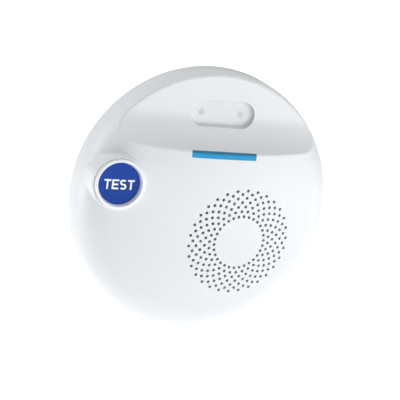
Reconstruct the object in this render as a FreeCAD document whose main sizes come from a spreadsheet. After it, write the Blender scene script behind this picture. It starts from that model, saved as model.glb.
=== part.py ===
import FreeCAD, Part
import math
import os
import re
import Sketcher

# Smoke detector for a wall, about 120 mm across.
#
# Every piece is drawn in a bench frame, as if the detector lay on its back: X to the right,
# Y towards the top of the wall-mounted detector, Z out of the wall. The last step stands each
# piece up, so that in the finished part the face looks along -Y, +Z is up and the origin is
# the centre of the mounting plate's back face, on the wall.

# Driving dimensions, millimetres and degrees. Heights are measured out from the wall.
SIZES = {
    # Front cover
    "body_radius": 60.0,
    "side_lean": 4.0,
    "edge_height": 8.0,
    "dome_height": 34.84,
    "dome_radius": 215.5,
    "shoulder_radius": 16.0,
    "shell": 2.0,
    # Scooped recess across the top of the cover
    "scoop_floor": 21.4,
    "scoop_floor_start": 41.0,
    "scoop_radius": 15.0,
    "scoop_end": 75.0,
    "scoop_top": 60.0,
    "scoop_edge_round": 1.2,
    "back_edge_round": 0.5,
    # Test button and its collar
    "button_across": -45.67,
    "button_up": 10.95,
    "collar_radius": 11.6,
    "collar_height": 33.9,
    "collar_foot": 17.0,
    "sleeve_foot": 21.0,
    "collar_root_round": 0.9,
    "collar_lip_round": 0.4,
    "bore_radius": 10.85,
    "cap_radius": 10.7,
    "cap_crest_height": 35.2,
    "cap_crest_radius": 9.55,
    "cap_bottom": 19.6,
    "cap_wall": 1.3,
    "cap_outer_round": 0.8,
    "cap_inner_round": 0.4,
    "label_radius": 8.95,
    "label_seat": 33.2,
    "label_thickness": 0.3,
    "cap_web": 1.2,
    "stem_radius": 2.2,
    "stem_bottom": 21.0,
    "hook_reach": 0.75,
    "hook_width": 5.0,
    "hook_height": 1.1,
    "hook_turn": -13.5,
    # Test switch
    "switch_width": 6.0,
    "switch_height": 3.6,
    "plunger_radius": 1.7,
    "plunger_bore": 1.75,
    "plunger_bottom": 14.7,
    "plunger_well": 13.5,
    "plunger_top": 20.95,
    # Sound holes
    "grille_across": 12.46,
    "grille_up": -13.29,
    "ring_first": 12.07,
    "ring_step": 2.32,
    "ring_step_loss": 0.152,
    "hole_radius": 0.7,
    "grille_turn": 5.0,
    "holes_per_ring": 30.0,
    # Light bar
    "bar_half_length": 15.0,
    "bar_low": 23.7,
    "bar_high": 28.0,
    "bar_bottom": 31.9,
    "guide_half_length": 12.0,
    "guide_low": 22.6,
    "guide_high": 24.4,
    "guide_bottom": 30.7,
    # Sensor pad, a shallow dish let into the scoop's floor
    "pad_across": 1.1,
    "pad_up": 41.1,
    "pad_half_length": 15.7,
    "pad_radius": 6.3,
    "pad_rim": 0.5,
    "pad_flange": 1.0,
    "pad_bottom": 17.4,
    "dish_bottom": 19.3,
    "dish_round": 1.3,
    "window_spread": 9.1,
    "window_radius": 1.45,
    "window_bottom": 17.3,
    # Screw bosses of the front cover
    "boss_radius": 4.6,
    "boss_circle": 54.0,
    "boss_top": 18.0,
    "boss_turn": 20.0,
    "pilot_radius": 1.0,
    "pilot_depth": 8.0,
    # Rear cover
    "floor_bottom": 7.0,
    "floor_top": 8.8,
    "plug_radius": 57.8,
    "skirt_foot_outer": 57.2,
    "skirt_foot_inner": 55.4,
    "skirt_top_inner": 57.4,
    "skirt_top_outer": 59.4,
    "skirt_foot": 3.0,
    "well_radius": 43.6,
    "well_wall": 1.6,
    "vent_count": 36.0,
    "vent_width": 6.0,
    "vent_bottom": 4.3,
    "vent_height": 2.1,
    "inlet_count": 24.0,
    "inlet_width": 3.0,
    "inlet_length": 4.0,
    "inlet_circle": 48.0,
    "rear_lug_inner": 40.8,
    "rear_lug_height": 1.6,
    "lug_angle": 14.0,
    # Mounting plate
    "plate_radius": 52.0,
    "plate_thickness": 2.4,
    "plate_groove_depth": 1.2,
    "inner_groove_start": 12.0,
    "inner_groove_end": 21.0,
    "outer_groove_start": 41.0,
    "outer_groove_end": 49.0,
    "rib_count": 12.0,
    "rib_width": 1.6,
    "plate_ring_outer": 40.2,
    "plate_ring_inner": 37.8,
    "plate_ring_height": 6.2,
    "plate_lug_outer": 43.0,
    "plate_lug_bottom": 5.0,
    "stop_turn": -8.9,
    "stop_width": 1.4,
    "slot_spacing": 60.0,
    "slot_length": 9.0,
    "slot_radius": 2.1,
    # Circuit board
    "board_radius": 53.0,
    "board_bottom": 10.8,
    "board_thickness": 1.6,
    "board_top": 12.4,
    "notch_radius": 5.0,
    "post_right_across": 40.0,
    "post_right_up": -26.0,
    "post_left_across": -46.0,
    "post_left_up": -10.0,
    "post_top_across": -20.0,
    "post_top_up": 40.0,
    "post_radius": 2.8,
    "post_screw_radius": 1.0,
    # Smoke chamber
    "chamber_across": -25.0,
    "chamber_up": -27.0,
    "chamber_radius": 15.4,
    "chamber_floor_top": 14.4,
    "chamber_lid_bottom": 23.4,
    "chamber_lid_top": 25.0,
    "vane_circle": 12.5,
    "vane_length": 3.6,
    "vane_thickness": 0.9,
    "vane_count": 20.0,
    "vane_lean": 35.0,
    "screen_thickness": 0.3,
    "optic_radius": 2.5,
    "optic_length": 6.5,
    "optic_reach": 2.4,
    "emitter_turn": 200.0,
    "diode_turn": 330.0,
    # Sounder
    "sounder_radius": 20.0,
    "sounder_wall": 1.5,
    "sounder_top": 27.0,
    "sounder_port": 5.0,
    "sounder_ledge_bottom": 19.0,
    "sounder_ledge_inner": 16.5,
    "disc_radius": 18.3,
    "disc_bottom": 20.0,
    "disc_thickness": 0.3,
    "ceramic_radius": 12.5,
    "ceramic_thickness": 0.25,
    "contact_pin_radius": 0.6,
    "gasket_height": 1.9,
    "mesh_radius": 25.3,
    "mesh_gap": 0.1,
    "mesh_thickness": 0.3,
    # Battery
    "battery_radius": 8.5,
    "battery_half_length": 16.6,
    "battery_up": 16.2,
    "battery_axis": 22.3,
    "nub_radius": 3.3,
    "nub_length": 1.0,
    "cradle_half_length": 19.2,
    "cradle_low": 7.2,
    "cradle_high": 25.2,
    "cradle_height": 20.0,
    "cradle_wall": 1.3,
    "cradle_clear": 0.2,
    "contact_width": 9.0,
    "contact_thickness": 0.3,
    "contact_half_height": 6.0,
    # Light bar board and sensor board
    "strip_half_length": 21.0,
    "strip_low": 22.3,
    "strip_high": 24.8,
    "strip_bottom": 29.2,
    "strip_thickness": 0.8,
    "led_width": 1.8,
    "led_pitch": 8.0,
    "led_height": 0.65,
    "pin_across": 20.2,
    "pin_up": 23.55,
    "pin_radius": 0.45,
    "sensor_half_length": 13.0,
    "sensor_low": 36.6,
    "sensor_width": 10.0,
    "sensor_bottom": 14.6,
    "sensor_thickness": 0.8,
    "emitter_radius": 1.5,
    "header_half_length": 5.0,
    "header_width": 2.5,
    # Parts on the main board
    "controller_across": 29.5,
    "controller_up": 18.0,
    "controller_width": 9.0,
    "controller_height": 1.2,
    "memory_across": 40.0,
    "memory_up": 8.0,
    "memory_length": 5.0,
    "memory_width": 4.0,
    "crystal_across": 33.0,
    "crystal_up": 11.8,
    "crystal_length": 7.0,
    "crystal_width": 2.4,
    "crystal_height": 1.6,
    "horn_coil_across": -29.0,
    "horn_coil_up": 0.0,
    "horn_coil_radius": 4.4,
    "horn_coil_height": 7.0,
    "left_capacitor_across": -29.5,
    "left_capacitor_up": 21.0,
    "right_capacitor_across": 25.5,
    "right_capacitor_up": 9.0,
    "capacitor_radius": 3.0,
    "capacitor_height": 7.0,
    # Screws
    "screw_shank": 0.95,
    "screw_head": 2.1,
    "screw_head_height": 1.6,
    "board_screw_length": 4.0,
    "cover_screw_length": 9.0,
}

doc = FreeCAD.newDocument("SmokeDetector")
sheet = doc.addObject("Spreadsheet::Sheet", "Sizes")
WORD = re.compile(r"[a-z][a-z_]*")
BOARD_POSTS = [("post_%s_across" % side, "post_%s_up" % side) for side in ("right", "left", "top")]
WINDOWS = ("pad_across - window_spread", "pad_across + window_spread")
UPRIGHT = FreeCAD.Rotation(FreeCAD.Vector(1, 0, 0), 90)
pieces = []
places = {}


# Sheet and expressions

def fill_sheet():
    for row, (alias, amount) in enumerate(SIZES.items(), start=1):
        sheet.set("A%d" % row, alias)
        sheet.set("B%d" % row, str(amount))
        sheet.setAlias("B%d" % row, alias)
    doc.recompute()


def bound(text):
    """The text of an expression with each size written as its cell in the sheet."""
    def cell(match):
        word = match.group()
        return "Sizes." + word if word in SIZES else word
    return WORD.sub(cell, text)


def number(text):
    """What an expression of the sizes comes to."""
    def amount(match):
        word = match.group()
        return "(%r)" % SIZES[word] if word in SIZES else word
    return FreeCAD.Units.Quantity(WORD.sub(amount, text)).Value


def bind(thing, **sizes):
    for name, text in sizes.items():
        thing.setExpression(name, bound(text))
    return thing


def bind_place(thing, spot, prefix="Placement"):
    """Put a thing at a place in the bench frame: across, up and out from the wall."""
    for axis, text in zip("xyz", spot):
        thing.setExpression("%s.Base.%s" % (prefix, axis), bound(text))
    places[thing.Name] = spot
    return thing


def finish(thing, label):
    """Stand a piece up against the wall and put it on the list of finished pieces."""
    turn = thing.Placement.Rotation
    thing.Placement = FreeCAD.Placement(FreeCAD.Vector(), UPRIGHT.multiply(turn))
    if thing.Name in places:
        across, up, out = places[thing.Name]
        bind_place(thing, (across, "-(%s)" % out, up))
    thing.Label = label
    pieces.append(thing)


# Solids in the bench frame

def cylinder(name, radius, height, spot):
    thing = doc.addObject("Part::Cylinder", name)
    bind(thing, Radius=radius, Height=height)
    return bind_place(thing, spot)


def box(name, length, width, height, spot):
    thing = doc.addObject("Part::Box", name)
    bind(thing, Length=length, Width=width, Height=height)
    return bind_place(thing, spot)


def cut(name, base, *tools):
    thing = doc.addObject("Part::Cut", name)
    thing.Base = base
    thing.Tool = tools[0] if len(tools) == 1 else join(name + "_tools", *tools)
    return thing


def join(name, *parts):
    thing = doc.addObject("Part::MultiFuse", name)
    thing.Shapes = list(parts)
    return thing


def common(name, *parts):
    thing = doc.addObject("Part::MultiCommon", name)
    thing.Shapes = list(parts)
    return thing


def tube(name, outer, inner, height, spot):
    wall = cylinder(name + "_outer", outer, height, spot)
    hollow = cylinder(name + "_inner", inner, height, spot)
    return cut(name, wall, hollow)


def group(name, *parts):
    """Separate solids kept in one piece, such as a set of screws."""
    thing = doc.addObject("Part::Compound", name)
    thing.Links = list(parts)
    return thing


# Sketches and features

def new_body(name):
    return doc.addObject("PartDesign::Body", name)


def plane(body, role):
    return next(item for item in body.Origin.OriginFeatures if item.Role == role)


def new_sketch(body, name, role, spot=None, turn="0"):
    """A sketch on one of the body's own planes, shifted within the plane and off it."""
    sketch = body.newObject("Sketcher::SketchObject", name)
    sketch.AttachmentSupport = (plane(body, role), [""])
    sketch.MapMode = "FlatFace"
    if spot:
        turned = FreeCAD.Rotation(FreeCAD.Vector(0, 0, 1), number(turn))
        sketch.AttachmentOffset = FreeCAD.Placement(FreeCAD.Vector(), turned)
        bind_place(sketch, spot, "AttachmentOffset")
    return sketch


def pin_point(sketch, edge, end, across, up):
    """Fix one end of an edge at a distance across and up from the sketch's origin."""
    for kind, axis, text in (("DistanceX", -2, across), ("DistanceY", -1, up)):
        if text == "0":
            sketch.addConstraint(Sketcher.Constraint("PointOnObject", edge, end, axis))
            continue
        index = sketch.addConstraint(Sketcher.Constraint(kind, -1, 1, edge, end, number(text)))
        sketch.setExpression("Constraints[%d]" % index, bound(text))


def size(sketch, kind, edge, text):
    index = sketch.addConstraint(Sketcher.Constraint(kind, edge, number(text)))
    sketch.setExpression("Constraints[%d]" % index, bound(text))


def outline_edge(start, end, radius):
    """A line, or an arc of a signed radius that turns left (plus) or right (minus) on its way.
    Also which end of the edge the outline comes in by, and which it leaves by."""
    if radius is None:
        return Part.LineSegment(start, end), 1, 2
    chord = end - start
    middle = (start + end) * 0.5
    left = FreeCAD.Vector(-chord.y, chord.x, 0).normalize()
    rise = math.sqrt(max(radius ** 2 - (chord.Length / 2) ** 2, 0))
    centre = middle + left * math.copysign(rise, radius)
    first, last = (start, end) if radius > 0 else (end, start)
    angles = [math.atan2(tip.y - centre.y, tip.x - centre.x) for tip in (first, last)]
    if angles[1] < angles[0]:
        angles[1] += 2 * math.pi
    circle = Part.Circle(centre, FreeCAD.Vector(0, 0, 1), abs(radius))
    arc = Part.ArcOfCircle(circle, angles[0], angles[1])
    return (arc, 1, 2) if radius > 0 else (arc, 2, 1)


def draw_outline(sketch, steps):
    """A closed outline. Each step is the next corner, across and up. An arc to that corner
    has its radius as a third text, with a minus sign if it turns right on its way."""
    corners = [FreeCAD.Vector(number(step[0]), number(step[1]), 0) for step in steps]
    edges = []
    for step, start, end in zip(steps, corners[-1:] + corners[:-1], corners):
        radius = number(step[2]) if len(step) > 2 else None
        shape, way_in, way_out = outline_edge(start, end, radius)
        edges.append((sketch.addGeometry(shape), way_in, way_out))
    for step, edge, following in zip(steps, edges, edges[1:] + edges[:1]):
        sketch.addConstraint(Sketcher.Constraint("Coincident", edge[0], edge[2], *following[:2]))
        pin_point(sketch, edge[0], edge[2], step[0], step[1])
        if len(step) > 2:
            size(sketch, "Radius", edge[0], step[2].lstrip("-"))


def draw_circle(sketch, across, up, radius):
    centre = FreeCAD.Vector(number(across), number(up), 0)
    circle = Part.Circle(centre, FreeCAD.Vector(0, 0, 1), number(radius))
    edge = sketch.addGeometry(circle)
    pin_point(sketch, edge, 3, across, up)
    size(sketch, "Radius", edge, radius)


def draw_stadium(sketch, across, half_length, radius):
    """Two level sides joined by half circles, drawn as quarter circles."""
    reach = "%s - (%s)" % (half_length, radius)
    draw_outline(sketch, [
        ("%s + %s" % (across, reach), "-(%s)" % radius),
        ("%s + %s" % (across, half_length), "0", radius),
        ("%s + %s" % (across, reach), radius, radius),
        ("%s - (%s)" % (across, reach), radius),
        ("%s - (%s)" % (across, half_length), "0", radius),
        ("%s - (%s)" % (across, reach), "-(%s)" % radius, radius),
    ])


def draw_box(sketch, left, low, right, high):
    draw_outline(sketch, [(left, low), (right, low), (right, high), (left, high)])


def revolve(body, name, sketch, angle=None):
    feature = body.newObject("PartDesign::Revolution", name)
    feature.Profile = sketch
    feature.ReferenceAxis = (sketch, ["V_Axis"])
    feature.Angle = 360
    if angle:
        feature.Midplane = True
        bind(feature, Angle=angle)
    return feature


def pad(body, name, sketch, length):
    feature = body.newObject("PartDesign::Pad", name)
    feature.Profile = sketch
    return bind(feature, Length=length)


def pocket(body, name, sketch, length, forward=False, both_ways=False):
    """Cut back from the sketch, or forward, the way its normal points."""
    feature = body.newObject("PartDesign::Pocket", name)
    feature.Profile = sketch
    feature.Reversed = forward
    if both_ways:
        feature.SideType = "Symmetric"
    return bind(feature, Length=length)


def ring_pattern(body, name, feature, count, axis=None):
    """Copies of a feature all round an axis, which is the body's own Z axis if none is named."""
    pattern = body.newObject("PartDesign::PolarPattern", name)
    pattern.Originals = [feature]
    pattern.Axis = axis or (plane(body, "Z_Axis"), [""])
    pattern.Angle = 360
    pattern.Occurrences = round(number(count))
    body.Tip = pattern
    return pattern


def round_edges(body, name, radius, chosen):
    """Round those edges of the body's last feature that a test picks."""
    doc.recompute()
    base = body.Tip
    names = ["Edge%d" % place for place, edge in enumerate(base.Shape.Edges, start=1) if chosen(edge)]
    feature = body.newObject("PartDesign::Fillet", name)
    feature.Base = (base, names)
    return bind(feature, Radius=radius)


def is_ring(radius, height):
    """A test for a circular edge of a given radius, at a given height."""
    def test(edge):
        if edge.Degenerated or edge.Curve.TypeId != "Part::GeomCircle":
            return False
        curve = edge.Curve
        return (
            abs(curve.Radius - number(radius)) < 0.01
            and abs(curve.Center.z - number(height)) < 0.01
        )
    return test


# Front cover

def cover_outline(sketch, inset):
    """Half of the cover's section: a leaning side, a round shoulder and a shallow dome, each
    tangent to the next. The shoulder's ends are worked out first, then held by constraints."""
    rim = number("body_radius - %s" % inset)
    edge = number("edge_height")
    lean = math.radians(number("side_lean"))
    dome = number("dome_radius - %s" % inset)
    shoulder = number("shoulder_radius - %s" % inset)
    dome_centre = FreeCAD.Vector(0, number("dome_height - dome_radius"), 0)
    outward = FreeCAD.Vector(math.cos(lean), math.sin(lean), 0)
    reach = rim * outward.x + (edge - dome_centre.y) * outward.y - shoulder
    turn = math.asin(reach / (dome - shoulder)) - lean
    towards = FreeCAD.Vector(math.sin(turn), math.cos(turn), 0)
    shoulder_centre = dome_centre + towards * (dome - shoulder)
    up = FreeCAD.Vector(0, 0, 1)
    foot = Part.LineSegment(FreeCAD.Vector(0, edge, 0), FreeCAD.Vector(rim, edge, 0))
    side = Part.LineSegment(FreeCAD.Vector(rim, edge, 0), shoulder_centre + outward * shoulder)
    corner = Part.ArcOfCircle(Part.Circle(shoulder_centre, up, shoulder), lean, math.pi / 2 - turn)
    top = Part.ArcOfCircle(Part.Circle(dome_centre, up, dome), math.pi / 2 - turn, math.pi / 2)
    axis = Part.LineSegment(FreeCAD.Vector(0, dome_centre.y + dome, 0), FreeCAD.Vector(0, edge, 0))
    edges = [sketch.addGeometry(shape) for shape in (foot, side, corner, top, axis)]
    for kind, first, second in (
        ("Coincident", 0, 1),
        ("Tangent", 1, 2),
        ("Tangent", 2, 3),
        ("Coincident", 3, 4),
        ("Coincident", 4, 0),
    ):
        sketch.addConstraint(Sketcher.Constraint(kind, edges[first], 2, edges[second], 1))
    pin_point(sketch, edges[0], 1, "0", "edge_height")
    pin_point(sketch, edges[0], 2, "body_radius - %s" % inset, "edge_height")
    pin_point(sketch, edges[3], 2, "0", "dome_height - %s" % inset)
    sketch.addConstraint(Sketcher.Constraint("PointOnObject", edges[3], 3, -2))
    size(sketch, "Radius", edges[2], "shoulder_radius - %s" % inset)
    size(sketch, "Radius", edges[3], "dome_radius - %s" % inset)
    index = sketch.addConstraint(Sketcher.Constraint("Angle", edges[1], math.pi / 2 + lean))
    sketch.setExpression("Constraints[%d]" % index, bound("90 + side_lean"))


def cover_solid(name, inset):
    """The solid within the cover's outer face, or within a face set in from it."""
    body = new_body(name)
    outline = new_sketch(body, name + "_outline", "XZ_Plane")
    cover_outline(outline, inset)
    revolve(body, name + "_dome", outline)
    scoop = new_sketch(body, name + "_scoop_outline", "YZ_Plane")
    wall = "scoop_floor_start - scoop_radius - %s" % inset
    draw_outline(scoop, [
        ("scoop_end", "scoop_floor - %s" % inset),
        ("scoop_end", "scoop_top"),
        (wall, "scoop_top"),
        (wall, "scoop_floor + scoop_radius"),
        ("scoop_floor_start", "scoop_floor - %s" % inset, "scoop_radius + %s" % inset),
    ])
    pocket(body, name + "_scoop", scoop, "4 * body_radius", both_ways=True)
    return body


def is_floor_rim(edge):
    """The curved rim of the scoop's floor. The edges that run on from it are rounded with it."""
    if edge.Degenerated or edge.Curve.TypeId != "Part::GeomCircle":
        return False
    return abs(edge.Curve.Center.z - number("scoop_floor")) < 0.01


def on_collar_root(edge):
    """Where the collar's outer wall meets the dome and the shoulder."""
    if edge.Degenerated or edge.Curve.TypeId == "Part::GeomLine":
        return False
    ends = [vertex.Point for vertex in edge.Vertexes]
    axis = FreeCAD.Vector(number("button_across"), number("button_up"), 0)
    reach = [(FreeCAD.Vector(tip.x, tip.y, 0) - axis).Length for tip in ends]
    return (
        max(abs(length - number("collar_radius")) for length in reach) < 0.01
        and max(tip.z for tip in ends) < number("collar_height") - 1
    )


def cover_outside():
    body = cover_solid("cover_outside", "0")
    round_edges(body, "scoop_edge", "scoop_edge_round", is_floor_rim)
    round_edges(body, "back_edge", "back_edge_round", is_ring("body_radius", "edge_height"))
    collar = new_sketch(body, "collar_outline", "XY_Plane", ("0", "0", "collar_foot"))
    draw_circle(collar, "button_across", "button_up", "collar_radius")
    pad(body, "collar", collar, "collar_height - collar_foot")
    round_edges(body, "collar_root", "collar_root_round", on_collar_root)
    round_edges(body, "collar_lip", "collar_lip_round", is_ring("collar_radius", "collar_height"))
    for first in (0, 1):
        sound_holes(body, first)
    return body


def sound_holes(body, first):
    """Every other ring of sound holes, turned by half a pitch from the rings between."""
    turn = "grille_turn + %d * 180 / holes_per_ring" % first
    name = "sound_holes_%d" % (first + 1)
    spot = ("grille_across", "grille_up", "dome_height + 1")
    rings = new_sketch(body, name + "_outline", "XY_Plane", spot, turn)
    for ring in range(first, 7, 2):
        radius = "ring_first + {0} * ring_step - {0} * ({0} - 1) / 2 * ring_step_loss".format(ring)
        draw_circle(rings, radius, "0", "hole_radius")
    holes = pocket(body, name, rings, "5 * shell")
    ring_pattern(body, name + "_ring", holes, "holes_per_ring", (rings, ["N_Axis"]))


def cover_inside():
    """The hollow of the cover, less the sleeve that guides the test button."""
    body = cover_solid("cover_inside", "shell")
    sleeve = new_sketch(body, "sleeve_outline", "XY_Plane", ("0", "0", "sleeve_foot"))
    draw_circle(sleeve, "button_across", "button_up", "collar_radius")
    pocket(body, "sleeve", sleeve, "dome_height", forward=True)
    return body


def boss_spots(height):
    """Three places for the cover's screw bosses, evenly round the edge."""
    turns = ["boss_turn + %d" % turn for turn in (0, 120, 240)]
    return [("boss_circle * cos(%s)" % turn, "boss_circle * sin(%s)" % turn, height) for turn in turns]


def stadium(name, half_length, radius, height, spot):
    """An upright prism with two parallel sides and round ends, centred at a place."""
    body = new_body(name)
    outline = new_sketch(body, name + "_outline", "XY_Plane", spot)
    draw_stadium(outline, "0", half_length, radius)
    pad(body, name + "_pad", outline, height)
    return body


def light_bar_space(outside):
    """The room that the light bar fills in the corner between dome and scoop."""
    corner = box(
        "bar_corner", "2 * bar_half_length", "bar_high - bar_low", "body_radius - bar_bottom",
        ("-bar_half_length", "bar_low", "bar_bottom"),
    )
    guide = box(
        "bar_guide", "2 * guide_half_length", "guide_high - guide_low",
        "dome_height - shell - guide_bottom", ("-guide_half_length", "guide_low", "guide_bottom"),
    )
    return join("bar_space", common("bar_face", outside, corner), guide)


def front_cover(outside, bar):
    skin = cut("cover_skin", outside, cover_inside())
    bosses = [
        cylinder("boss_%d" % place, "boss_radius", "boss_top - floor_top", spot)
        for place, spot in enumerate(boss_spots("floor_top"), start=1)
    ]
    pilots = [
        cylinder("pilot_%d" % place, "pilot_radius", "pilot_depth", spot)
        for place, spot in enumerate(boss_spots("floor_top"), start=1)
    ]
    bore_spot = ("button_across", "button_up", "cap_bottom - 2")
    bore = cylinder("button_bore", "bore_radius", "dome_height", bore_spot)
    window = stadium(
        "pad_opening", "pad_half_length", "pad_radius", "dome_height - floor_top",
        ("pad_across", "pad_up", "floor_top"),
    )
    cover = cut("front_cover", join("cover_blank", skin, *bosses), bore, window, bar, *pilots)
    finish(cover, "front_cover")


# Light bar, sensor pad and what lies behind them

def light_bar(bar):
    finish(group("light_bar", bar), "light_bar")
    strip = box(
        "light_board", "2 * strip_half_length", "strip_high - strip_low", "strip_thickness",
        ("-strip_half_length", "strip_low", "strip_bottom"),
    )
    finish(strip, "light_board")
    lights = []
    for place in range(3):
        left = "%d * led_pitch - led_width / 2" % (place - 1)
        spot = (left, "pin_up - led_width / 2", "strip_bottom + strip_thickness")
        lights.append(box("light_%d" % (place + 1), "led_width", "led_width", "led_height", spot))
    finish(group("status_lights", *lights), "status_lights")
    pins = [
        cylinder(name, "pin_radius", "strip_bottom - board_top", (across, "pin_up", "board_top"))
        for name, across in (("left_pin", "-pin_across"), ("right_pin", "pin_across"))
    ]
    finish(group("light_board_pins", *pins), "light_board_pins")


def sensor_pad(outside):
    plug = stadium(
        "pad_plug", "pad_half_length", "pad_radius", "dome_height - pad_bottom",
        ("pad_across", "pad_up", "pad_bottom"),
    )
    flange = stadium(
        "pad_foot", "pad_half_length + pad_flange", "pad_radius + pad_flange",
        "scoop_floor - shell - pad_bottom", ("pad_across", "pad_up", "pad_bottom"),
    )
    dish = stadium(
        "pad_dish", "pad_half_length - pad_rim", "pad_radius - pad_rim",
        "dome_height - dish_bottom", ("pad_across", "pad_up", "dish_bottom"),
    )
    round_edges(dish, "pad_dish_round", "dish_round", is_at_height("dish_bottom"))
    bores = [
        cylinder(name, "window_radius", "dish_bottom", (across, "pad_up", "board_top"))
        for name, across in (("left_bore", WINDOWS[0]), ("right_bore", WINDOWS[1]))
    ]
    blank = join("pad_blank", common("pad_face", plug, outside), flange)
    finish(cut("sensor_pad", blank, dish, *bores), "sensor_pad")
    for across, hand in zip(WINDOWS, ("left", "right")):
        spot = (across, "pad_up", "window_bottom")
        window = cylinder("sensor_window_" + hand, "window_radius", "dish_bottom - window_bottom", spot)
        finish(window, "sensor_window_" + hand)


def is_at_height(height):
    """A test for an edge that lies level, at a given height."""
    def test(edge):
        return all(abs(vertex.Z - number(height)) < 0.001 for vertex in edge.Vertexes)
    return test


def sensor_board():
    board = box(
        "sensor_board", "2 * sensor_half_length", "sensor_width", "sensor_thickness",
        ("-sensor_half_length", "sensor_low", "sensor_bottom"),
    )
    finish(board, "sensor_board")
    for across, name in zip(WINDOWS, ("sensor_emitter", "sensor_receiver")):
        top = "sensor_bottom + sensor_thickness"
        spot = (across, "pad_up", top)
        finish(cylinder(name, "emitter_radius", "window_bottom - (%s) - 0.1" % top, spot), name)
    header = box(
        "sensor_header", "2 * header_half_length", "header_width", "sensor_bottom - board_top",
        ("-header_half_length", "sensor_low + 1", "board_top"),
    )
    finish(header, "sensor_header")


# Test button and its switch

def button_cap():
    body = new_body("button_cap")
    outline = new_sketch(body, "cap_outline", "XZ_Plane")
    ceiling = "label_seat - cap_web"
    draw_outline(outline, [
        ("0", "stem_bottom"),
        ("stem_radius", "stem_bottom"),
        ("stem_radius", ceiling),
        ("cap_radius - cap_wall", ceiling),
        ("cap_radius - cap_wall", "cap_bottom"),
        ("cap_radius", "cap_bottom"),
        ("cap_radius", "cap_crest_height"),
        ("cap_crest_radius", "cap_crest_height"),
        ("label_radius + 0.05", "label_seat + label_thickness"),
        ("label_radius + 0.05", "label_seat"),
        ("0", "label_seat"),
    ])
    revolve(body, "cap_turned", outline)
    round_edges(body, "cap_outer_edge", "cap_outer_round", is_ring("cap_radius", "cap_crest_height"))
    round_edges(body, "cap_inner_edge", "cap_inner_round", is_ring("cap_crest_radius", "cap_crest_height"))
    hook = new_sketch(body, "hook_outline", "XY_Plane", ("0", "0", "cap_bottom"), "hook_turn")
    hook_root = "cap_radius - cap_wall / 2"
    draw_box(hook, hook_root, "-hook_width / 2", "cap_radius + hook_reach", "hook_width / 2")
    hooks = pad(body, "hook", hook, "hook_height")
    ring_pattern(body, "hooks", hooks, "3")
    bind_place(body, ("button_across", "button_up", "0"))
    finish(body, "button_cap")


def button_label():
    spot = ("button_across", "button_up", "label_seat")
    finish(cylinder("button_label", "label_radius", "label_thickness", spot), "button_label")


def test_switch():
    low = "button_{0} - switch_width / 2"
    case = box(
        "switch_case", "switch_width", "switch_width", "switch_height",
        (low.format("across"), low.format("up"), "board_top"),
    )
    well_spot = ("button_across", "button_up", "plunger_well")
    well = cylinder("switch_well", "plunger_bore", "switch_height", well_spot)
    finish(cut("test_switch_body", case, well), "test_switch_body")
    plunger = cylinder(
        "test_switch_plunger", "plunger_radius", "plunger_top - plunger_bottom",
        ("button_across", "button_up", "plunger_bottom"),
    )
    finish(plunger, "test_switch_plunger")


# Rear cover and mounting plate

def rear_cover():
    body = new_body("rear_shell")
    outline = new_sketch(body, "rear_outline", "XZ_Plane")
    draw_outline(outline, [
        ("0", "floor_bottom"),
        ("well_radius", "floor_bottom"),
        ("well_radius", "skirt_foot"),
        ("well_radius + well_wall", "skirt_foot"),
        ("well_radius + well_wall", "floor_bottom"),
        ("skirt_top_inner", "floor_bottom"),
        ("skirt_foot_inner", "skirt_foot"),
        ("skirt_foot_outer", "skirt_foot"),
        ("skirt_top_outer", "edge_height"),
        ("plug_radius", "edge_height"),
        ("plug_radius", "floor_top"),
        ("0", "floor_top"),
    ])
    revolve(body, "rear_turned", outline)
    lug = new_sketch(body, "rear_lug_outline", "XZ_Plane")
    lug_root = "well_radius + well_wall / 2"
    draw_box(lug, "rear_lug_inner", "skirt_foot", lug_root, "skirt_foot + rear_lug_height")
    ring_pattern(body, "rear_lugs", revolve(body, "rear_lug", lug, "lug_angle"), "3")
    vent = new_sketch(body, "vent_outline", "YZ_Plane", ("0", "0", "well_radius + 5"))
    draw_box(vent, "-vent_width / 2", "vent_bottom", "vent_width / 2", "vent_bottom + vent_height")
    vents = pocket(body, "vent", vent, "body_radius - well_radius", forward=True)
    ring_pattern(body, "vents", vents, "vent_count")
    inlet = new_sketch(body, "inlet_outline", "XY_Plane", ("0", "0", "edge_height + 2"))
    inlet_end = "inlet_circle + inlet_length"
    draw_box(inlet, "inlet_circle", "-inlet_width / 2", inlet_end, "inlet_width / 2")
    inlets = pocket(body, "inlet", inlet, "edge_height")
    ring_pattern(body, "inlets", inlets, "inlet_count")
    posts = new_sketch(body, "post_outline", "XY_Plane", ("0", "0", "floor_top"))
    for across, up in BOARD_POSTS:
        draw_circle(posts, across, up, "post_radius")
    pad(body, "posts", posts, "board_bottom - floor_top")
    pilot_foot = "floor_bottom + 0.8"
    pilots = [
        cylinder(
            "post_pilot_%d" % place, "post_screw_radius", "board_bottom - (%s)" % pilot_foot,
            (across, up, pilot_foot),
        )
        for place, (across, up) in enumerate(BOARD_POSTS, start=1)
    ]
    holes = [
        cylinder("cover_screw_hole_%d" % place, "screw_shank + 0.2", "floor_top", spot)
        for place, spot in enumerate(boss_spots("floor_bottom - 1"), start=1)
    ]
    finish(cut("rear_cover", body, *pilots, *holes), "rear_cover")


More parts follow.
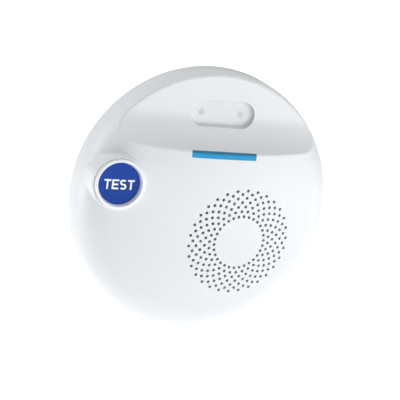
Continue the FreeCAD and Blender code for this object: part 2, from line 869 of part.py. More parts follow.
def mounting_plate():
    body = new_body("mounting_plate")
    outline = new_sketch(body, "plate_outline", "XZ_Plane")
    draw_outline(outline, [
        ("0", "0"),
        ("inner_groove_start", "0"),
        ("inner_groove_start", "plate_groove_depth"),
        ("inner_groove_end", "plate_groove_depth"),
        ("inner_groove_end", "0"),
        ("outer_groove_start", "0"),
        ("outer_groove_start", "plate_groove_depth"),
        ("outer_groove_end", "plate_groove_depth"),
        ("outer_groove_end", "0"),
        ("plate_radius", "0"),
        ("plate_radius", "plate_thickness"),
        ("plate_ring_outer", "plate_thickness"),
        ("plate_ring_outer", "plate_ring_height"),
        ("plate_ring_inner", "plate_ring_height"),
        ("plate_ring_inner", "plate_thickness"),
        ("0", "plate_thickness"),
    ])
    revolve(body, "plate_disc", outline)
    for name in ("inner", "outer"):
        start, end = name + "_groove_start - 0.2", name + "_groove_end + 0.2"
        rib = new_sketch(body, name + "_rib_outline", "XY_Plane")
        draw_box(rib, start, "-rib_width / 2", end, "rib_width / 2")
        ribs = pad(body, name + "_rib", rib, "plate_groove_depth + 0.2")
        ring_pattern(body, name + "_ribs", ribs, "rib_count")
    lug = new_sketch(body, "plate_lug_outline", "XZ_Plane")
    draw_box(lug, "plate_ring_inner", "plate_lug_bottom", "plate_lug_outer", "plate_ring_height")
    ring_pattern(body, "plate_lugs", revolve(body, "plate_lug", lug, "lug_angle"), "3")
    stop_foot = ("0", "0", "plate_thickness / 2")
    stop = new_sketch(body, "plate_stop_outline", "XY_Plane", stop_foot, "stop_turn")
    draw_box(stop, "plate_ring_inner + 0.1", "-stop_width / 2", "plate_lug_outer", "stop_width / 2")
    stops = pad(body, "plate_stop", stop, "plate_ring_height - plate_thickness / 2")
    ring_pattern(body, "plate_stops", stops, "3")
    slots = new_sketch(body, "screw_slot_outline", "XY_Plane", ("0", "0", "plate_ring_height"))
    for across in ("slot_spacing / 2", "-slot_spacing / 2"):
        draw_stadium(slots, across, "slot_length / 2", "slot_radius")
    pocket(body, "screw_slots", slots, "2 * plate_ring_height")
    finish(body, "mounting_plate")


# Main board

def main_board():
    disc = cylinder("board_disc", "board_radius", "board_thickness", ("0", "0", "board_bottom"))
    notches = [
        cylinder("board_notch_%d" % place, "notch_radius", "board_top", spot)
        for place, spot in enumerate(boss_spots("floor_top"), start=1)
    ]
    holes = [
        cylinder("board_hole_%d" % place, "screw_shank + 0.15", "board_top", (across, up, "floor_top"))
        for place, (across, up) in enumerate(BOARD_POSTS, start=1)
    ]
    finish(cut("main_board", disc, *notches, *holes), "main_board")


def board_block(name, length, width, height):
    """A square-cornered part that sits on the main board, with its place named after it."""
    corner = ("%s_across - (%s) / 2" % (name, length), "%s_up - (%s) / 2" % (name, width), "board_top")
    finish(box(name, length, width, height, corner), name)


def board_parts():
    board_block("controller", "controller_width", "controller_width", "controller_height")
    board_block("memory", "memory_length", "memory_width", "controller_height")
    board_block("crystal", "crystal_length", "crystal_width", "crystal_height")
    coil_spot = ("horn_coil_across", "horn_coil_up", "board_top")
    finish(cylinder("horn_coil", "horn_coil_radius", "horn_coil_height", coil_spot), "horn_coil")
    for name in ("left_capacitor", "right_capacitor"):
        spot = (name + "_across", name + "_up", "board_top")
        finish(cylinder(name, "capacitor_radius", "capacitor_height", spot), name)


# Smoke chamber

def smoke_chamber():
    base = new_body("chamber_base")
    disc = new_sketch(base, "chamber_disc_outline", "XY_Plane", ("0", "0", "board_top"))
    draw_circle(disc, "0", "0", "chamber_radius")
    pad(base, "chamber_disc", disc, "chamber_floor_top - board_top")
    vane = new_sketch(base, "vane_outline", "XY_Plane", ("vane_circle", "0", "board_top"), "vane_lean")
    draw_box(vane, "-vane_length / 2", "-vane_thickness / 2", "vane_length / 2", "vane_thickness / 2")
    vanes = pad(base, "vane", vane, "chamber_lid_bottom - board_top")
    ring_pattern(base, "vanes", vanes, "vane_count")
    chamber_spot = ("chamber_across", "chamber_up", "0")
    finish(bind_place(base, chamber_spot), "chamber_base")
    lid = cylinder(
        "chamber_lid", "chamber_radius", "chamber_lid_top - chamber_lid_bottom",
        ("chamber_across", "chamber_up", "chamber_lid_bottom"),
    )
    finish(lid, "chamber_lid")
    screen = tube(
        "insect_screen", "chamber_radius", "chamber_radius - screen_thickness",
        "chamber_lid_bottom - chamber_floor_top", ("chamber_across", "chamber_up", "chamber_floor_top"),
    )
    finish(screen, "insect_screen")
    for name, turn in (("smoke_emitter", "emitter_turn"), ("smoke_photodiode", "diode_turn")):
        optic(name, turn)


def optic(name, turn):
    """A round light part that lies on the chamber's floor and points at its middle."""
    spot = (
        "chamber_across + optic_reach * cos(%s)" % turn,
        "chamber_up + optic_reach * sin(%s)" % turn,
        "chamber_floor_top + optic_radius",
    )
    thing = cylinder(name, "optic_radius", "optic_length", spot)
    thing.Placement.Rotation = pointing(number(turn))
    finish(thing, name)


def pointing(turn):
    """The rotation that lays a cylinder's axis level, at an angle from +X."""
    level = FreeCAD.Rotation(FreeCAD.Vector(0, 1, 0), 90)
    return FreeCAD.Rotation(FreeCAD.Vector(0, 0, 1), turn).multiply(level)


# Sounder

def sounder():
    housing = new_body("sounder_housing")
    outline = new_sketch(housing, "sounder_outline", "XZ_Plane")
    inside = "sounder_radius - sounder_wall"
    draw_outline(outline, [
        (inside, "board_top"),
        ("sounder_radius", "board_top"),
        ("sounder_radius", "sounder_top"),
        ("sounder_port", "sounder_top"),
        ("sounder_port", "sounder_top - sounder_wall"),
        (inside, "sounder_top - sounder_wall"),
        (inside, "disc_bottom"),
        ("sounder_ledge_inner", "disc_bottom"),
        ("sounder_ledge_inner", "sounder_ledge_bottom"),
        (inside, "sounder_ledge_bottom"),
    ])
    revolve(housing, "sounder_shell", outline)
    finish(bind_place(housing, ("grille_across", "grille_up", "0")), "sounder_housing")
    disc_spot = ("grille_across", "grille_up", "disc_bottom")
    finish(cylinder("sounder_disc", "disc_radius", "disc_thickness", disc_spot), "sounder_disc")
    ceramic_spot = ("grille_across", "grille_up", "disc_bottom - ceramic_thickness")
    ceramic = cylinder("sounder_ceramic", "ceramic_radius", "ceramic_thickness", ceramic_spot)
    finish(ceramic, "sounder_ceramic")
    inner_pin = cylinder(
        "inner_pin", "contact_pin_radius", "disc_bottom - ceramic_thickness - board_top",
        ("grille_across + ceramic_radius / 2", "grille_up", "board_top"),
    )
    outer_pin = cylinder(
        "outer_pin", "contact_pin_radius", "disc_bottom - board_top",
        ("grille_across - ceramic_radius - 2", "grille_up", "board_top"),
    )
    finish(group("sounder_contacts", inner_pin, outer_pin), "sounder_contacts")
    gasket = tube(
        "sounder_gasket", "sounder_radius - 0.5", "sounder_radius - 2.5", "gasket_height",
        ("grille_across", "grille_up", "sounder_top"),
    )
    finish(gasket, "sounder_gasket")
    finish(dust_mesh(), "dust_mesh")


def dust_mesh():
    """A thin dished disc just behind the sound holes, which follows the inside of the dome."""
    centre = ("0", "0", "dome_height - dome_radius")
    front, back = [
        bind_place(bind(doc.addObject("Part::Sphere", name), Radius=radius), centre)
        for name, radius in (
            ("mesh_front", "dome_radius - shell - mesh_gap"),
            ("mesh_back", "dome_radius - shell - mesh_gap - mesh_thickness"),
        )
    ]
    trim = cylinder("mesh_trim", "mesh_radius", "dome_height", ("grille_across", "grille_up", "edge_height"))
    return cut("dust_mesh", common("mesh_blank", front, trim), back)


# Battery

def battery():
    level = pointing(0)
    cell = cylinder(
        "battery_cell", "battery_radius", "2 * battery_half_length",
        ("-battery_half_length", "battery_up", "battery_axis"),
    )
    nub = cylinder(
        "battery_nub", "nub_radius", "nub_length",
        ("battery_half_length", "battery_up", "battery_axis"),
    )
    inside = "cradle_half_length - cradle_wall"
    hollow = cylinder(
        "cradle_hollow", "battery_radius + cradle_clear", "2 * (%s)" % inside,
        ("-(%s)" % inside, "battery_up", "battery_axis"),
    )
    for thing in (cell, nub, hollow):
        thing.Placement.Rotation = level
    finish(join("battery", cell, nub), "battery")
    block = box(
        "cradle_block", "2 * cradle_half_length", "cradle_high - cradle_low", "cradle_height - board_top",
        ("-cradle_half_length", "cradle_low", "board_top"),
    )
    finish(cut("battery_cradle", block, hollow), "battery_cradle")
    plate = box(
        "contact_plate", "contact_thickness", "contact_width", "2 * contact_half_height",
        (
            "%s - contact_thickness" % inside,
            "battery_up - contact_width / 2",
            "battery_axis - contact_half_height",
        ),
    )
    finish(plate, "battery_contact_plus")
    spring_contact("-(%s)" % inside)


def spring_contact(back):
    """The strip at the battery's flat end, with a pressed ridge that bears on the cell."""
    body = new_body("battery_contact_minus")
    outline = new_sketch(body, "contact_outline", "XZ_Plane", ("0", "0", "-battery_up - contact_width / 2"))
    face = back + " + contact_thickness"
    draw_outline(outline, [
        (back, "battery_axis - contact_half_height"),
        (face, "battery_axis - contact_half_height"),
        (face, "battery_axis - contact_half_height / 2"),
        ("-battery_half_length", "battery_axis"),
        (face, "battery_axis + contact_half_height / 2"),
        (face, "battery_axis + contact_half_height"),
        (back, "battery_axis + contact_half_height"),
    ])
    pad(body, "contact_strip", outline, "contact_width")
    finish(body, "battery_contact_minus")


# Screws

def screws(name, spots, length, head_foot, shank_foot):
    """A set of screws with flat round heads, given the heights where head and shank begin."""
    solids = []
    for place, (across, up) in enumerate(spots, start=1):
        head = cylinder(
            "%s_head_%d" % (name, place), "screw_head", "screw_head_height", (across, up, head_foot)
        )
        shank = cylinder("%s_shank_%d" % (name, place), "screw_shank", length, (across, up, shank_foot))
        solids.append(join("%s_%d" % (name, place), head, shank))
    finish(group(name, *solids), name)


def check_and_write():
    doc.recompute()
    for thing in doc.Objects:
        if "Invalid" in thing.State or "Error" in thing.State:
            raise RuntimeError("%s failed: %s" % (thing.Label, thing.getStatusString()))
    for piece in pieces:
        if piece.Shape.isNull() or not piece.Shape.isValid():
            raise RuntimeError("%s has no valid shape" % piece.Label)
    os.makedirs("parts", exist_ok=True)
    for piece in pieces:
        piece.Shape.exportStep("parts/%s.step" % piece.Label)
        print("%-24s %d solids %10.2f mm3" % (piece.Label, len(piece.Shape.Solids), piece.Shape.Volume))


fill_sheet()
cover_outer = cover_outside()
bar_space = light_bar_space(cover_outer)
front_cover(cover_outer, bar_space)
light_bar(bar_space)
sensor_pad(cover_outer)
sensor_board()
button_cap()
button_label()
test_switch()
rear_cover()
mounting_plate()
main_board()
board_parts()
smoke_chamber()
sounder()
battery()
screws("board_screws", BOARD_POSTS, "board_screw_length", "board_top", "board_top - board_screw_length")
cover_spots = [(across, up) for across, up, height in boss_spots("floor_bottom")]
screws("cover_screws", cover_spots, "cover_screw_length", "floor_bottom - screw_head_height", "floor_bottom")
check_and_write()
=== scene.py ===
import math

import bmesh
import bpy
from mathutils import Matrix, Vector


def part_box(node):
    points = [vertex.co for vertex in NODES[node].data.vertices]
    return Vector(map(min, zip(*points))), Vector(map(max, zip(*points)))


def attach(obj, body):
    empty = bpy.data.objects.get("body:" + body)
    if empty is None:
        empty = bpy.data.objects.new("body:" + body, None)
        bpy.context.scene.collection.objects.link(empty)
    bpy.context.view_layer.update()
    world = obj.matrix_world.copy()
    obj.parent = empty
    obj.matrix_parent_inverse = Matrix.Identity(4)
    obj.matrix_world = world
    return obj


# Smoke detector, seen as it hangs on a wall: its face looks along -Y and +Z is up.
# Lengths are metres in Blender. Sizes written in millimetres are multiplied by MM.

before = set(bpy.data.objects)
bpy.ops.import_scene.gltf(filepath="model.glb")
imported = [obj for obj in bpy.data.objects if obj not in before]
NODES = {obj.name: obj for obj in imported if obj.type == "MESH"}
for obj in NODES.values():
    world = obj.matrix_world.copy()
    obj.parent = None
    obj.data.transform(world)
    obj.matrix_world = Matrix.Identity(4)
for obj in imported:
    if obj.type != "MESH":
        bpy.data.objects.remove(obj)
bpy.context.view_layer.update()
MM = 0.001
BUTTON = "test_button"


# Node trees

WAVE_TURN = 20  # radians the wave texture turns through in one unit of its scaled place


def new_material(name):
    material = bpy.data.materials.new(name)
    material.use_nodes = True
    tree = material.node_tree
    return material, tree, tree.nodes["Principled BSDF"]


def add_node(tree, kind, **settings):
    """A node with its sockets and properties set by name, such as scale=5 or data_type='RGBA'."""
    node = tree.nodes.new(kind)
    for name, value in settings.items():
        socket = name.replace("_", " ").title()
        if socket in node.inputs:
            node.inputs[socket].default_value = value
        else:
            setattr(node, name, value)
    return node


def set_shader(shader, **settings):
    for name, value in settings.items():
        shader.inputs[name.replace("_", " ").title()].default_value = value


def rgba(colour):
    return (*colour, 1)


def add_range(tree, mask, low, high, start=0.0, end=1.0):
    """Turn a value that runs from start to end into one that runs from low to high."""
    span = add_node(
        tree, "ShaderNodeMapRange", from_min=start, from_max=end, to_min=low, to_max=high,
    )
    tree.links.new(mask, span.inputs["Value"])
    return span.outputs["Result"]


def add_colour(tree, shader, mask, first, second):
    """Colour a shader with a mix of two colours, by a mask between 0 and 1."""
    mix = add_node(tree, "ShaderNodeMix", data_type="RGBA")
    mix.inputs["A"].default_value = rgba(first)
    mix.inputs["B"].default_value = rgba(second)
    tree.links.new(mask, mix.inputs["Factor"])
    tree.links.new(mix.outputs["Result"], shader.inputs["Base Color"])


def add_gloss(tree, shader, mask, roughness, smoother, rougher):
    """Let the roughness wander between two shares of its middle value."""
    gloss = add_range(tree, mask, roughness * smoother, roughness * rougher)
    tree.links.new(gloss, shader.inputs["Roughness"])


def add_bump(tree, shader, heights):
    """Stack bumps on a shader: each is a height, its strength, and its depth in millimetres."""
    normal = None
    for height, strength, depth in heights:
        bump = add_node(tree, "ShaderNodeBump", strength=strength, distance=depth * MM)
        tree.links.new(height, bump.inputs["Height"])
        if normal:
            tree.links.new(normal, bump.inputs["Normal"])
        normal = bump.outputs["Normal"]
    tree.links.new(normal, shader.inputs["Normal"])


def object_place(tree):
    """The place on the object, in metres in the row frame."""
    return tree.nodes.new("ShaderNodeTexCoord").outputs["Object"]


def object_axis(tree, axis):
    """The place on the object along one axis."""
    parts = tree.nodes.new("ShaderNodeSeparateXYZ")
    tree.links.new(object_place(tree), parts.inputs["Vector"])
    return parts.outputs[axis]


def add_noise(tree, size, detail=3, squeeze=(1, 1, 1)):
    """Noise whose features are about a size in millimetres. Each axis can be squeezed."""
    scale = add_node(tree, "ShaderNodeMapping", scale=squeeze)
    noise = add_node(tree, "ShaderNodeTexNoise", scale=1 / (size * MM), detail=detail)
    tree.links.new(object_place(tree), scale.inputs["Vector"])
    tree.links.new(scale.outputs["Vector"], noise.inputs["Vector"])
    return noise.outputs["Fac"]


def add_waves(tree, size, direction, distortion=0.0):
    """Parallel ridges a given number of millimetres apart."""
    waves = add_node(
        tree, "ShaderNodeTexWave", scale=2 * math.pi / (WAVE_TURN * size * MM),
        distortion=distortion, bands_direction=direction,
    )
    tree.links.new(object_place(tree), waves.inputs["Vector"])
    return waves.outputs["Fac"]


# Camera, floor and light

CAMERA_PLACE = (-0.1724, -0.4232, 0.1123)
CAMERA_AIM = (0.3757, 0.8936, -0.2457)
CAMERA_UP = (-0.0368, 0.2793, 0.9595)
SENSOR_WIDTH = 36.0
LENS = 91.5
SHIFT = 0.00125
CLIP_START = 0.01
FLOOR_COLOUR = (0.85, 0.85, 0.86)
FLOOR_DROP = 0.3
FLOOR_REACH = 12.0
FLOOR_GLOW = 0.5
BACKDROP_GLOW = 1.05
WORLD_LOW = 0.22
WORLD_HIGH = 0.88
WORLD_RISE_START = 0.15
WORLD_RISE_END = 0.85
LIGHT_SIZE = 0.5
SOFTBOXES = (  # name, bearing, height, power
    ("strip_low", -105, -8, 2.8),
    ("strip_middle", -110, 20, 1.6),
    ("strip_high", -110, 50, 0.7),
    ("bank_left", 10, -8, 1.6),
    ("bank_middle", 40, -8, 2.4),
    ("bank_right", 70, -8, 1.2),
)
FLAG_BEARING = -50
FLAG_HEIGHT = 5
FLAG_DISTANCE = 0.8
FLAG_WIDTH = 0.7


def add_camera():
    """The viewing angle: from the left of straight on, a little above, and rolled over."""
    forward = Vector(CAMERA_AIM).normalized()
    right = forward.cross(Vector(CAMERA_UP)).normalized()
    up = right.cross(forward)
    data = bpy.data.cameras.new("camera")
    data.sensor_width = SENSOR_WIDTH
    data.lens = LENS
    data.clip_start = CLIP_START
    data.shift_x = -SHIFT
    data.shift_y = SHIFT
    camera = bpy.data.objects.new("camera", data)
    turn = Matrix((right, up, -forward)).transposed().to_4x4()
    camera.matrix_world = Matrix.Translation(CAMERA_PLACE) @ turn
    bpy.context.scene.collection.objects.link(camera)
    bpy.context.scene.camera = camera


def add_square(name, width, material):
    """A flat square, level round its own origin."""
    reach = width / 2
    mesh = bpy.data.meshes.new(name)
    corners = [(-reach, -reach, 0), (reach, -reach, 0), (reach, reach, 0), (-reach, reach, 0)]
    mesh.from_pydata(corners, [], [(0, 1, 2, 3)])
    mesh.materials.append(material)
    square = bpy.data.objects.new(name, mesh)
    bpy.context.scene.collection.objects.link(square)
    return square


def add_floor():
    """A pale floor that glows a little and reads as white where it is seen directly."""
    material, tree, shader = new_material("pale_floor")
    set_shader(
        shader, base_color=rgba(FLOOR_COLOUR), roughness=0.8, emission_color=rgba((1, 1, 1)),
    )
    path = tree.nodes.new("ShaderNodeLightPath")
    glow = add_range(tree, path.outputs["Is Camera Ray"], FLOOR_GLOW, BACKDROP_GLOW)
    tree.links.new(glow, shader.inputs["Emission Strength"])
    floor = add_square("floor", 2 * FLOOR_REACH, material)
    floor.location = (0, 0, -FLOOR_DROP)


def add_world():
    """A white studio, brightest overhead. Where it is seen directly it is plain white."""
    world = bpy.data.worlds.new("studio")
    bpy.context.scene.world = world
    world.use_nodes = True
    tree = world.node_tree
    backdrop = tree.nodes["Background"]
    place = tree.nodes.new("ShaderNodeTexCoord")
    parts = tree.nodes.new("ShaderNodeSeparateXYZ")
    tree.links.new(place.outputs["Generated"], parts.inputs["Vector"])
    glow = add_range(
        tree, parts.outputs["Z"], WORLD_LOW, WORLD_HIGH, start=WORLD_RISE_START, end=WORLD_RISE_END,
    )
    path = tree.nodes.new("ShaderNodeLightPath")
    seen = add_node(tree, "ShaderNodeMix", data_type="FLOAT")
    seen.inputs["B"].default_value = BACKDROP_GLOW
    tree.links.new(path.outputs["Is Camera Ray"], seen.inputs["Factor"])
    tree.links.new(glow, seen.inputs["A"])
    tree.links.new(seen.outputs["Result"], backdrop.inputs["Strength"])
    backdrop.inputs["Color"].default_value = rgba((1, 1, 1))


def direction_to(bearing, height):
    """The way from the detector to a light. The bearing turns from the front to the right, and
    the height is above the level, both in degrees."""
    bearing, height = math.radians(bearing), math.radians(height)
    level = math.cos(height)
    return Vector((math.sin(bearing) * level, -math.cos(bearing) * level, math.sin(height)))


def add_softbox(name, bearing, height, power):
    """A square light a metre from the detector, facing it."""
    away = direction_to(bearing, height)
    data = bpy.data.lights.new(name, "AREA")
    data.size = LIGHT_SIZE
    data.energy = power
    light = bpy.data.objects.new(name, data)
    light.location = away
    light.rotation_mode = "QUATERNION"
    light.rotation_quaternion = (-away).to_track_quat("-Z", "Y")
    light.visible_camera = False
    bpy.context.scene.collection.objects.link(light)


def add_flag():
    """A black square of cloth that keeps light off from one side. It is not seen itself."""
    away = direction_to(FLAG_BEARING, FLAG_HEIGHT)
    material, _, shader = new_material("black_cloth")
    set_shader(shader, base_color=rgba((0.01, 0.01, 0.01)), roughness=1.0)
    flag = add_square("flag", FLAG_WIDTH, material)
    flag.location = away * FLAG_DISTANCE
    flag.rotation_mode = "QUATERNION"
    flag.rotation_quaternion = (-away).to_track_quat("Z", "Y")
    flag.visible_camera = False


def add_studio():
    """A tall strip of light behind on the left, a wide low bank of light at the front right,
    and a black flag at the front left."""
    add_camera()
    add_world()
    add_floor()
    for softbox in SOFTBOXES:
        add_softbox(*softbox)
    add_flag()
    view = bpy.context.scene.view_settings
    view.view_transform = "Standard"
    view.look = "None"


# Materials

# The upper share of the light bar is coloured darker as painted shade, and the blur softens the
# edge of that painted shade.
BAR_PAINTED_SHADE_SHARE = 0.25
BAR_PAINTED_SHADE_BLUR = 0.15 * MM
FOAM_CELL = 0.45
SLEEVE_BAND_START = 9.0 * MM
SLEEVE_BAND_FULL = 9.2 * MM


def darker(colour, share):
    return [part * share for part in colour]


def plastic(name, colour, roughness, grain=0.12, depth=0.005, mottle=0.02, gleam=0.5):
    """Moulded plastic: a fine spark-eroded grain, a faint ripple where it flowed in the mould,
    and a colour and gloss that wander slightly."""
    material, tree, shader = new_material(name)
    fine = add_noise(tree, size=grain)
    broad = add_noise(tree, size=22, detail=4)
    flow = add_noise(tree, size=9, detail=1)
    add_colour(tree, shader, broad, darker(colour, 1 - mottle), colour)
    add_gloss(tree, shader, broad, roughness, smoother=0.88, rougher=1.12)
    add_bump(tree, shader, [(flow, 0.2, 0.02), (fine, 0.35, depth)])
    shader.inputs["Specular IOR Level"].default_value = gleam
    return material


def light_guide(name, colour, painted_shade_colour, node):
    """Tinted clear plastic whose upper edge, under the lip of the scoop, is given a darker colour
    as painted shade.
    """
    material = plastic(name, colour, 0.26, depth=0.002, gleam=0.2)
    tree = material.node_tree
    low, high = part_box(node)
    # Painted shade: above this height the bar takes the darker colour.
    painted_shade_edge = high.z - BAR_PAINTED_SHADE_SHARE * (high.z - low.z)
    painted_shade_mask = add_range(
        tree, object_axis(tree, "Z"), 0.0, 1.0,
        start=painted_shade_edge - BAR_PAINTED_SHADE_BLUR, end=painted_shade_edge + BAR_PAINTED_SHADE_BLUR,
    )
    add_colour(tree, tree.nodes["Principled BSDF"], painted_shade_mask, colour, painted_shade_colour)
    return material


def metal(name, colour, roughness, squeeze=(1, 1, 1)):
    """Rolled or plated metal, with fine marks drawn out along the way it was rolled."""
    material, tree, shader = new_material(name)
    marks = add_noise(tree, size=0.35, detail=5, squeeze=squeeze)
    stain = add_noise(tree, size=4, detail=4)
    add_colour(tree, shader, stain, darker(colour, 0.86), colour)
    add_gloss(tree, shader, marks, roughness, smoother=0.7, rougher=1.35)
    add_bump(tree, shader, [(marks, 0.3, 0.008)])
    set_shader(shader, metallic=1.0)
    return material


def clear(name, colour, roughness, passes):
    """Clear or tinted resin with a few faint streaks in it."""
    material, tree, shader = new_material(name)
    streak = add_noise(tree, size=0.9, detail=2, squeeze=(1, 0.3, 1))
    add_colour(tree, shader, streak, darker(colour, 0.85), colour)
    add_gloss(tree, shader, streak, roughness, smoother=0.8, rougher=1.3)
    add_bump(tree, shader, [(streak, 0.15, 0.01)])
    set_shader(shader, transmission_weight=passes)
    return material


def circuit_board(name):
    """Green solder mask over fibreglass, with copper tracks that show as paler raised lines."""
    material, tree, shader = new_material(name)
    across = add_waves(tree, size=2.2, direction="X", distortion=5.0)
    tracks = add_range(tree, across, 0.0, 1.0, start=0.80, end=0.86)
    weave = add_noise(tree, size=0.5, squeeze=(1, 1, 4))
    mask, copper = (0.012, 0.105, 0.045), (0.04, 0.22, 0.08)
    add_colour(tree, shader, tracks, mask, copper)
    add_bump(tree, shader, [(weave, 0.2, 0.01), (tracks, 0.6, 0.035)])
    set_shader(shader, roughness=0.28)
    return material


def woven(name, thread, gap, pitch):
    """A fine mesh: threads that cross at right angles, with dark gaps between."""
    material, tree, shader = new_material(name)
    across = add_waves(tree, pitch, direction="X")
    along = add_waves(tree, pitch, direction="Z")
    crossing = add_node(tree, "ShaderNodeMath", operation="MAXIMUM")
    tree.links.new(across, crossing.inputs[0])
    tree.links.new(along, crossing.inputs[1])
    threads = crossing.outputs["Value"]
    shade = add_range(tree, threads, 0.0, 1.0, start=0.45, end=0.85)
    add_colour(tree, shader, shade, gap, thread)
    add_bump(tree, shader, [(threads, 0.7, 0.05)])
    set_shader(shader, roughness=0.7)
    return material


def foam(name, colour):
    """Closed-cell foam, a skin of small round cells."""
    material, tree, shader = new_material(name)
    cells = add_node(tree, "ShaderNodeTexVoronoi", scale=1 / (FOAM_CELL * MM))
    tree.links.new(object_place(tree), cells.inputs["Vector"])
    height = cells.outputs["Distance"]
    add_colour(tree, shader, height, colour, [part * 1.6 for part in colour])
    add_bump(tree, shader, [(height, 0.6, 0.08)])
    set_shader(shader, roughness=0.9)
    return material


def sleeve(name, colour, band):
    """Shrink sleeve round a cell, with a pale printed band and the fine ripple it shrinks into."""
    material, tree, shader = new_material(name)
    end = add_range(
        tree, object_axis(tree, "X"), 0.0, 1.0, start=SLEEVE_BAND_START, end=SLEEVE_BAND_FULL,
    )
    ripple = add_noise(tree, size=1.4, squeeze=(0.2, 1, 1))
    add_colour(tree, shader, end, colour, band)
    tree.links.new(add_range(tree, ripple, 0.16, 0.3), shader.inputs["Roughness"])
    add_bump(tree, shader, [(ripple, 0.3, 0.04)])
    return material


def make_materials():
    return {
        "white_shell": plastic("white_shell", (0.745, 0.770, 0.787), 0.34),
        "white_base": plastic("white_base", (0.70, 0.715, 0.725), 0.48, grain=0.25, depth=0.012),
        "white_cap": plastic("white_cap", (0.865, 0.885, 0.905), 0.26, grain=0.1, depth=0.003),
        "label_blue": plastic("label_blue", (0.006, 0.052, 0.33), 0.4, depth=0.002, gleam=0.12),
        # The light bar's second colour is painted shade on its upper strip, not a colour of the
        # plastic.
        "light_blue": light_guide(
            "light_blue", (0.010, 0.31, 0.62), (0.035, 0.19, 0.33), "light_bar",
        ),
        "window_grey": clear("window_grey", (0.62, 0.635, 0.65), 0.22, 0.0),
        "black_plastic": plastic("black_plastic", (0.022, 0.022, 0.025), 0.5, depth=0.01),
        "board_green": circuit_board("board_green"),
        "chip_black": plastic("chip_black", (0.03, 0.03, 0.034), 0.6, grain=0.06, depth=0.008),
        "steel": metal("steel", (0.62, 0.63, 0.65), 0.28, squeeze=(1, 1, 6)),
        "brass": metal("brass", (0.75, 0.56, 0.26), 0.3, squeeze=(0.2, 1, 3)),
        "ceramic_grey": plastic("ceramic_grey", (0.70, 0.68, 0.64), 0.55, grain=0.2, mottle=0.12),
        "foam_grey": foam("foam_grey", (0.12, 0.12, 0.125)),
        "mesh_dark": woven("mesh_dark", (0.085, 0.088, 0.092), (0.008, 0.008, 0.009), 0.32),
        "clear_lens": clear("clear_lens", (0.85, 0.88, 0.90), 0.06, 0.85),
        "battery_wrap": sleeve("battery_wrap", (0.05, 0.075, 0.24), (0.68, 0.69, 0.70)),
        "aluminium_can": metal("aluminium_can", (0.76, 0.77, 0.79), 0.32, squeeze=(1, 5, 1)),
        "led_white": plastic("led_white", (0.80, 0.80, 0.72), 0.35, grain=0.05, depth=0.002),
        "switch_grey": plastic("switch_grey", (0.20, 0.20, 0.215), 0.5),
    }


USES = {
    "white_shell": ("front_cover", "sensor_pad"),
    "white_base": ("mounting_plate", "rear_cover", "test_switch_plunger"),
    "white_cap": ("button_cap",),
    "label_blue": ("button_label",),
    "light_blue": ("light_bar",),
    "window_grey": ("sensor_window_left", "sensor_window_right"),
    "black_plastic": (
        "sensor_receiver", "sensor_header", "horn_coil", "chamber_base", "chamber_lid",
        "sounder_housing", "battery_cradle",
    ),
    "board_green": ("light_board", "sensor_board", "main_board"),
    "chip_black": ("controller", "memory"),
    "steel": (
        "light_board_pins", "crystal", "insect_screen", "sounder_contacts", "battery_contact_plus",
        "battery_contact_minus", "board_screws", "cover_screws",
    ),
    "brass": ("sounder_disc",),
    "ceramic_grey": ("sounder_ceramic",),
    "foam_grey": ("sounder_gasket",),
    "mesh_dark": ("dust_mesh",),
    "clear_lens": ("sensor_emitter", "smoke_emitter", "smoke_photodiode"),
    "battery_wrap": ("battery",),
    "aluminium_can": ("left_capacitor", "right_capacitor"),
    "led_white": ("status_lights",),
    "switch_grey": ("test_switch_body",),
}


def dress_nodes(materials):
    for slot, nodes in USES.items():
        for node in nodes:
            slots = NODES[node].data.materials
            slots.clear()
            slots.append(materials[slot])


# New pieces

LETTER_TALL = 4.2 * MM
LETTER_WIDE = 2.9 * MM
LETTER_GAP = 0.5 * MM
LETTER_STROKE = 0.72 * MM
LETTER_RAISE = 0.06 * MM
LETTER_DROP = 0.3 * MM
MIDDLE_ARM_SHARE = 0.92
S_END = 40  # where the S opens, in degrees above the level
ARC_STEPS = 14


def centre_of(node):
    low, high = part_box(node)
    return (Vector(low) + Vector(high)) / 2


def front_of(node):
    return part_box(node)[0][1]


def add_piece(name, shape, body, slot, materials):
    """A mesh made in bmesh, in place in the row frame, that rides on a body."""
    mesh = bpy.data.meshes.new(name)
    shape.to_mesh(mesh)
    shape.free()
    mesh.materials.append(materials[slot])
    piece = bpy.data.objects.new(name, mesh)
    bpy.context.scene.collection.objects.link(piece)
    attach(piece, body)


def ribbon(points, width):
    """The outline of a stroke of even width along a line of points, square at both ends."""
    left, right = [], []
    for place, point in enumerate(points):
        before = points[max(place - 1, 0)]
        after = points[min(place + 1, len(points) - 1)]
        along = (after - before).normalized()
        side = Vector((-along.y, along.x)) * width / 2
        left.append(point + side)
        right.append(point - side)
    return left + right[::-1]


def arc(centre, radius, first, last):
    """Points on an arc between two angles in degrees."""
    points = []
    for step in range(ARC_STEPS + 1):
        angle = math.radians(first + (last - first) * step / ARC_STEPS)
        points.append(centre + Vector((math.cos(angle), math.sin(angle))) * radius)
    return points


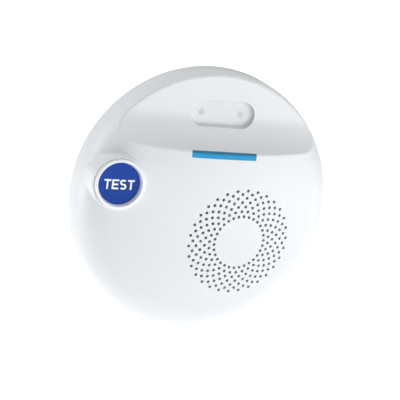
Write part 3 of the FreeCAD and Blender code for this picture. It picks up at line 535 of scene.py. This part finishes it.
def block_letter(letter, tall, wide, stroke):
    """The closed outline of a plain block letter, from its lower left corner."""
    if letter == "T":
        left, right = (wide - stroke) / 2, (wide + stroke) / 2
        corners = [
            (left, 0), (right, 0), (right, tall - stroke), (wide, tall - stroke), (wide, tall),
            (0, tall), (0, tall - stroke), (left, tall - stroke),
        ]
        return [Vector(corner) for corner in corners]
    if letter == "E":
        low, high = (tall - stroke) / 2, (tall + stroke) / 2
        arm = wide * MIDDLE_ARM_SHARE
        corners = [
            (0, 0), (wide, 0), (wide, stroke), (stroke, stroke), (stroke, low), (arm, low),
            (arm, high), (stroke, high), (stroke, tall - stroke), (wide, tall - stroke),
            (wide, tall), (0, tall),
        ]
        return [Vector(corner) for corner in corners]
    bend = (tall - stroke) / 4
    left, right = stroke / 2 + bend, wide - stroke / 2 - bend
    top, base = tall - stroke / 2 - bend, stroke / 2 + bend
    upper = arc(Vector((right, top)), bend, S_END, 90) + arc(Vector((left, top)), bend, 90, 270)
    lower = arc(Vector((right, base)), bend, 90, -90)
    lower += arc(Vector((left, base)), bend, -90, S_END - 180)
    return ribbon(upper + lower, stroke)


def add_lettering(materials):
    """The word TEST in plain raised block letters on the button's label."""
    centre = centre_of("button_label")
    face = front_of("button_label")
    word = "TEST"
    width = len(word) * LETTER_WIDE + (len(word) - 1) * LETTER_GAP
    for place, letter in enumerate(word):
        left = centre.x - width / 2 + place * (LETTER_WIDE + LETTER_GAP)
        low = centre.z - LETTER_TALL / 2 - LETTER_DROP
        outline = block_letter(letter, LETTER_TALL, LETTER_WIDE, LETTER_STROKE)
        shape = bmesh.new()
        corners = [shape.verts.new((left + point.x, face, low + point.y)) for point in outline]
        base = shape.faces.new(corners)
        raised = bmesh.ops.extrude_face_region(shape, geom=[base])
        tops = [item for item in raised["geom"] if isinstance(item, bmesh.types.BMVert)]
        bmesh.ops.translate(shape, verts=tops, vec=(0, -LETTER_RAISE, 0))
        bmesh.ops.recalc_face_normals(shape, faces=shape.faces)
        name = "letter_%d_%s" % (place + 1, letter.lower())
        add_piece(name, shape, BUTTON, "white_cap", materials)


add_studio()
materials = make_materials()
dress_nodes(materials)
add_lettering(materials)
